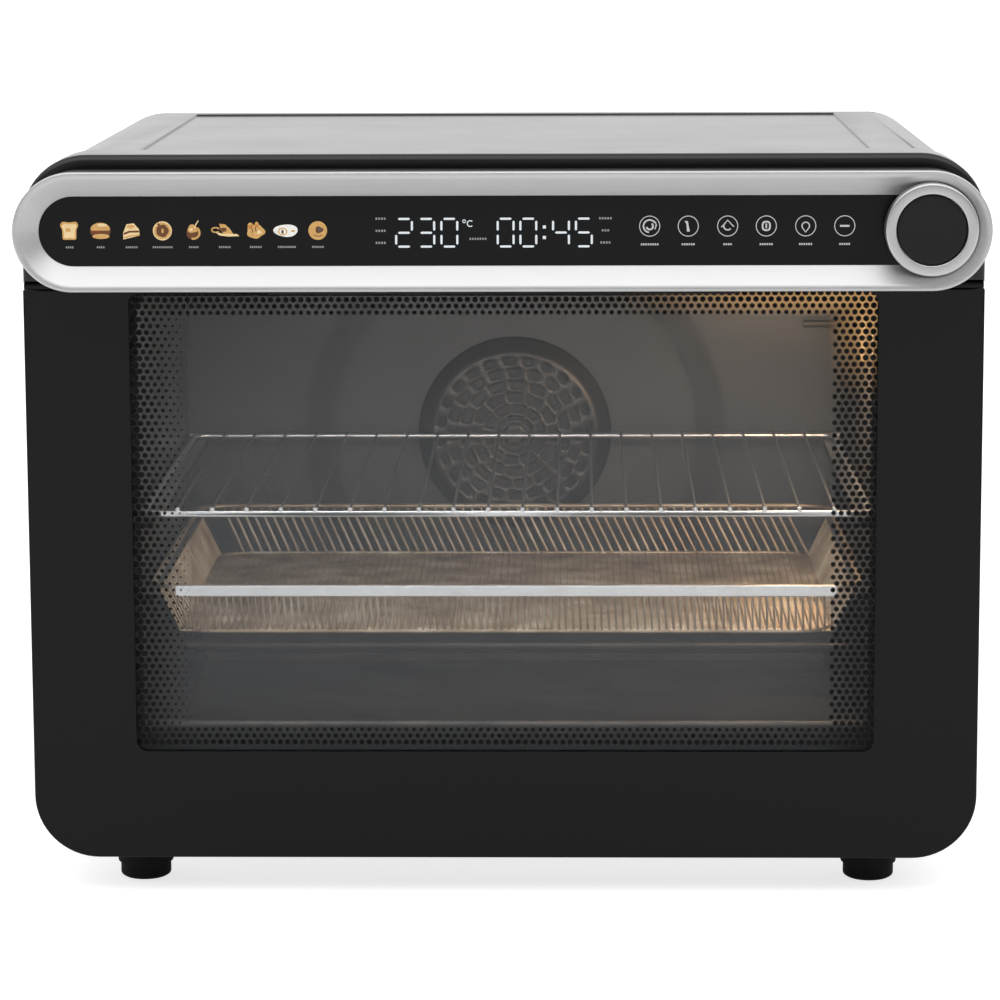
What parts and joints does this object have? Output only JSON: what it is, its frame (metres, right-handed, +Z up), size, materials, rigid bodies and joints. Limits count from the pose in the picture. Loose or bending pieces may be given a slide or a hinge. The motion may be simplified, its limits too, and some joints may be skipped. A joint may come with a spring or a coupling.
{
  "type": "toaster oven",
  "caption": "Countertop convection toaster oven with a drop-down glass door, digital panel with dial and push button, wire rack, fry basket and crumb tray.",
  "frame": {"origin": "middle of the oven's footprint, on the surface that its feet stand on", "axes": "+X to the oven's right seen from the front, +Y from the door to the back, +Z up"},
  "size_m": [0.5, 0.4372, 0.394],
  "materials": {
    "bezel": "gloss black",
    "black_frame": "satin black",
    "casing": "smooth dark grey, semi-gloss",
    "black_plastic": "fine matte",
    "door_glass": "smoked glass with a black printed border",
    "panel_glass": "gloss black panel with printed symbols",
    "satin_metal": "satin",
    "enamel": "dark grey enamel",
    "dark_steel": "heat-darkened",
    "chrome_wire": "bright",
    "basket_mesh": "coated wire mesh",
    "zinc_steel": "zinc plated",
    "rubber": "matte black",
    "silicone": "soft",
    "circuit_board": "solder mask",
    "ceramic": "unglazed",
    "warm_glass": "frosted, lit from behind"
  },
  "bodies": {
    "oven_body": {"base_plate": "zinc_steel", "button_spring": "zinc_steel", "cavity_back": "enamel", "cavity_shell": "enamel", "control_board": "circuit_board", "control_fascia": "panel_glass", "control_housing": "black_plastic", "control_trim": "satin_metal", "cord_gland": "rubber", "display_module": "black_plastic", "door_gasket": "silicone", "encoder_body": "zinc_steel", "fan_grille": "dark_steel", "fan_motor": "zinc_steel", "foot_front_left": "rubber", "foot_front_right": "rubber", "foot_rear_left": "rubber", "foot_rear_right": "rubber", "front_frame": "bezel", "hinge_bracket_left": "zinc_steel", "hinge_bracket_right": "zinc_steel", "hinge_pin_left": "chrome_wire", "hinge_pin_right": "chrome_wire", "lamp_bulb": "warm_glass", "lamp_glass": "warm_glass", "lamp_holder": "ceramic", "lower_element_1": "dark_steel", "lower_element_2": "dark_steel", "outer_casing": "casing", "power_board": "circuit_board", "rear_cover": "casing", "rear_screw_high_left": "zinc_steel", "rear_screw_high_right": "zinc_steel", "rear_screw_low_left": "zinc_steel", "rear_screw_low_right": "zinc_steel", "rear_spacer_left": "rubber", "rear_spacer_right": "rubber", "temperature_probe": "chrome_wire", "thermal_cutout": "ceramic", "upper_element_1": "dark_steel", "upper_element_2": "dark_steel", "upper_element_3": "dark_steel"},
    "door": {"door_outer_glass": "door_glass", "door_frame": "black_plastic", "door_inner_glass": "door_glass", "door_liner": "black_frame", "door_pull": "black_plastic", "hinge_spring_left": "zinc_steel", "hinge_spring_right": "zinc_steel"},
    "wire_rack": {"wire_rack": "chrome_wire"},
    "basket": {"fry_basket": "basket_mesh"},
    "crumb_tray": {"crumb_tray": "dark_steel"},
    "dial": {"dial_ring": "satin_metal"},
    "button": {"dial_button": "black_plastic"},
    "fan": {"fan_impeller": "zinc_steel", "fan_shaft": "chrome_wire", "cooling_fan": "zinc_steel"}
  },
  "joints": [
    {"name": "door_hinge", "type": "hinge", "parent": "oven_body", "child": "door", "pos_m": [0, -0.16265, 0.028], "axis": [1, 0, 0], "range_deg": [0, 90], "stiffness_Nm_per_rad": 1, "springref_deg": -28.65},
    {"name": "wire_rack_slide", "type": "slide", "parent": "oven_body", "child": "wire_rack", "axis": [0, -1, 0], "range_m": [0, 0.22]},
    {"name": "basket_slide", "type": "slide", "parent": "oven_body", "child": "basket", "axis": [0, -1, 0], "range_m": [0, 0.19]},
    {"name": "crumb_tray_slide", "type": "slide", "parent": "oven_body", "child": "crumb_tray", "axis": [0, -1, 0], "range_m": [0, 0.075]},
    {"name": "dial_turn", "type": "hinge", "parent": "oven_body", "child": "dial", "pos_m": [0.2185, -0.21165, 0.358], "axis": [0, 1, 0], "continuous": true},
    {"name": "button_press", "type": "slide", "parent": "oven_body", "child": "button", "axis": [0, 1, 0], "range_m": [0, 0.0015], "stiffness_N_per_m": 300, "deforming": ["button_spring"]},
    {"name": "fan_spin", "type": "hinge", "parent": "oven_body", "child": "fan", "pos_m": [0, 0.17335, 0.198], "axis": [0, 1, 0], "continuous": true}
  ],
  "couplings": [
    {"joint": "wire_rack_slide", "follows": "door_hinge", "m_per_rad": 0.14},
    {"joint": "basket_slide", "follows": "door_hinge", "m_per_rad": 0.12},
    {"joint": "crumb_tray_slide", "follows": "door_hinge", "m_per_rad": 0.045}
  ]
}
